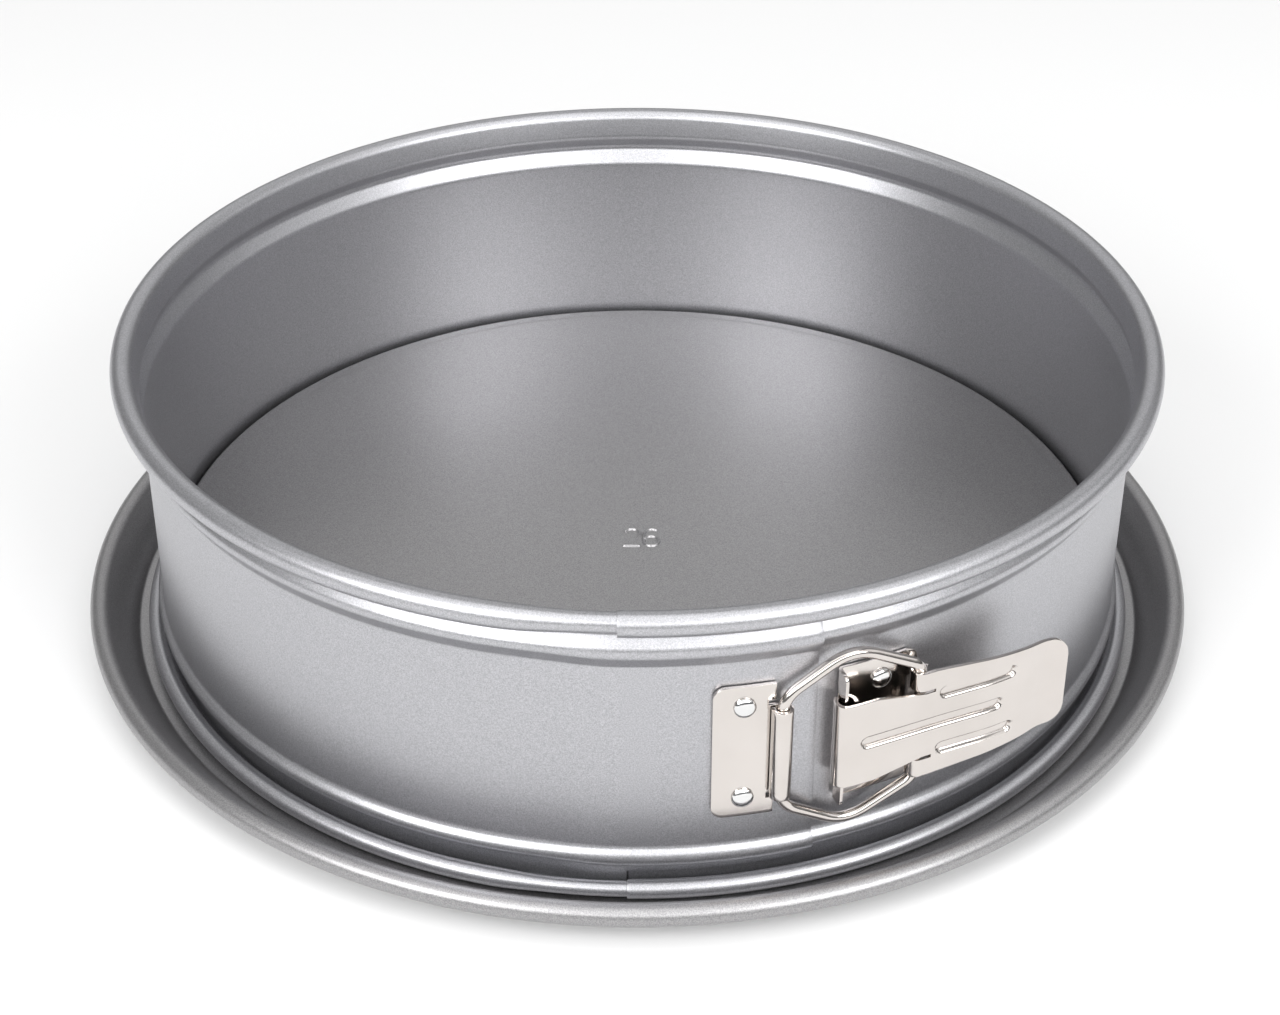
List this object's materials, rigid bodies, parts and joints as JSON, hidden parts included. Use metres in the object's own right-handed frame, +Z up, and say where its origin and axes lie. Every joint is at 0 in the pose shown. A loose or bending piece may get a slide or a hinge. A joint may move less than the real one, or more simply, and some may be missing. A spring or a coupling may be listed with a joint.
{
  "type": "springform pan",
  "caption": "Round baking pan: a coated steel ring with rolled edges that a toggle latch pulls shut round a raised base plate with a wide drip rim.",
  "frame": {"origin": "on the pan's axis, in the plane that the base plate stands on", "axes": "+Z up along the pan's axis; -Y is the front, with the latch a little to the right of it, towards +X"},
  "size_m": [0.3054, 0.3054, 0.0852],
  "materials": {
    "coating": "satin silver-grey non-stick coating with a fine metallic grain",
    "nickel": "bright nickel plate, slightly warm",
    "rivet": "bright domed steel"
  },
  "bodies": {
    "base": {"base_plate": "coating"},
    "ring_back": {"ring_back": "coating"},
    "ring_left": {"ring_left": "coating", "keeper_plate": "nickel", "keeper_rivet_top": "rivet", "keeper_rivet_bottom": "rivet"},
    "ring_right": {"ring_right": "coating", "latch_bracket": "nickel", "bracket_rivet_top": "rivet", "bracket_rivet_bottom": "rivet"},
    "bail": {"bail_wire": "nickel"},
    "lever": {"latch_lever": "nickel", "bail_leg": "nickel"}
  },
  "joints": [
    {"name": "ring_lift", "type": "slide", "parent": "base", "child": "ring_back", "axis": [0, 0, 1], "range_m": [0, 0.1]},
    {"name": "ring_left_open", "type": "hinge", "parent": "ring_back", "child": "ring_left", "pos_m": [-0.05979, 0.11992, 0.0427], "axis": [0, 0, -1], "range_deg": [0, 1.33]},
    {"name": "ring_right_open", "type": "hinge", "parent": "ring_back", "child": "ring_right", "pos_m": [-0.02442, 0.13176, 0.0427], "axis": [0, 0, 1], "range_deg": [0, 1.33]},
    {"name": "latch_lever", "type": "hinge", "parent": "ring_right", "child": "lever", "pos_m": [0.04816, -0.12778, 0.0427], "axis": [0, 0, -1], "range_deg": [0, 95]},
    {"name": "bail", "type": "hinge", "parent": "ring_left", "child": "bail", "pos_m": [0.03334, -0.13185, 0.0427], "axis": [0, 0, -1], "range_deg": [0, 36.2]}
  ],
  "couplings": [
    {"joint": "ring_left_open", "follows": "latch_lever", "ratio": 0.013912},
    {"joint": "ring_right_open", "follows": "latch_lever", "ratio": 0.013912},
    {"joint": "bail", "follows": "latch_lever", "ratio": 0.38064}
  ]
}
